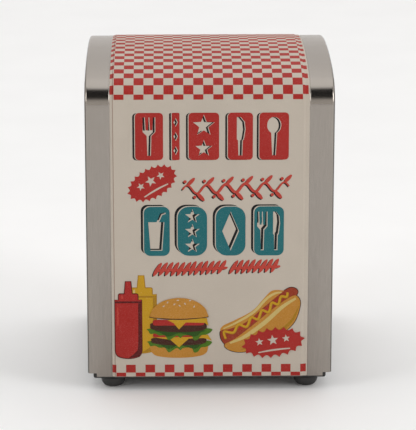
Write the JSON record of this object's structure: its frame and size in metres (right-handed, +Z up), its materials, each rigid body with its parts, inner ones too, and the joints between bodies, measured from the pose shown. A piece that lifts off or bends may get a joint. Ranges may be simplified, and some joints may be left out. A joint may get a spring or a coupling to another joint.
{
  "type": "napkin dispenser",
  "caption": "Counter-top napkin dispenser: arched printed steel casing, windowed end plates that tilt out, sprung pushers inside, black tray on rubber feet.",
  "frame": {"origin": "centre of the footprint, on the surface that the feet stand on", "axes": "+Z up, X along the width between the two open ends, -Y out of the printed front"},
  "size_m": [0.1, 0.101, 0.1343],
  "materials": {
    "casing_steel": "brushed stainless sheet, printed over the raised middle band",
    "faceplate_steel": "brushed stainless sheet",
    "inner_steel": "plain zinc-plated sheet",
    "spring_steel": "drawn spring steel",
    "fastener_steel": "plated rivet",
    "tray_black": "black semi-gloss paint",
    "foot_rubber": "matte black rubber"
  },
  "bodies": {
    "housing": {"casing_shell": "casing_steel", "base_tray": "tray_black", "foot_front_left": "foot_rubber", "foot_front_right": "foot_rubber", "foot_back_left": "foot_rubber", "foot_back_right": "foot_rubber", "center_divider": "inner_steel", "divider_rivet_front": "fastener_steel", "divider_rivet_back": "fastener_steel", "anchor_rivet": "fastener_steel", "hinge_pin_front_left": "fastener_steel", "hinge_pin_front_right": "fastener_steel", "hinge_pin_back_left": "fastener_steel", "hinge_pin_back_right": "fastener_steel", "latch_clip_right": "spring_steel", "latch_clip_left": "spring_steel", "spring_anchor_right": "inner_steel", "spring_anchor_left": "inner_steel", "spring_right": "spring_steel", "spring_left": "spring_steel"},
    "end_plate_right": {"faceplate_right": "faceplate_steel"},
    "end_plate_left": {"faceplate_left": "faceplate_steel"},
    "follower_right": {"pusher_right": "inner_steel", "spring_cup_right": "inner_steel", "pusher_rivet_right": "fastener_steel"},
    "follower_left": {"pusher_left": "inner_steel", "spring_cup_left": "inner_steel", "pusher_rivet_left": "fastener_steel"}
  },
  "joints": [
    {"name": "faceplate_right_tilt", "type": "hinge", "parent": "housing", "child": "end_plate_right", "pos_m": [0.0462, 0, 0.0121], "axis": [0, 1, 0], "range_deg": [0, 80]},
    {"name": "faceplate_left_tilt", "type": "hinge", "parent": "housing", "child": "end_plate_left", "pos_m": [-0.0462, 0, 0.0121], "axis": [0, -1, 0], "range_deg": [0, 80]},
    {"name": "pusher_right_slide", "type": "slide", "parent": "housing", "child": "follower_right", "axis": [-1, 0, 0], "range_m": [0, 0.026], "stiffness_N_per_m": 60, "springref_m": -0.02, "deforming": ["spring_right"]},
    {"name": "pusher_left_slide", "type": "slide", "parent": "housing", "child": "follower_left", "axis": [1, 0, 0], "range_m": [0, 0.026], "stiffness_N_per_m": 60, "springref_m": -0.02, "deforming": ["spring_left"]}
  ]
}
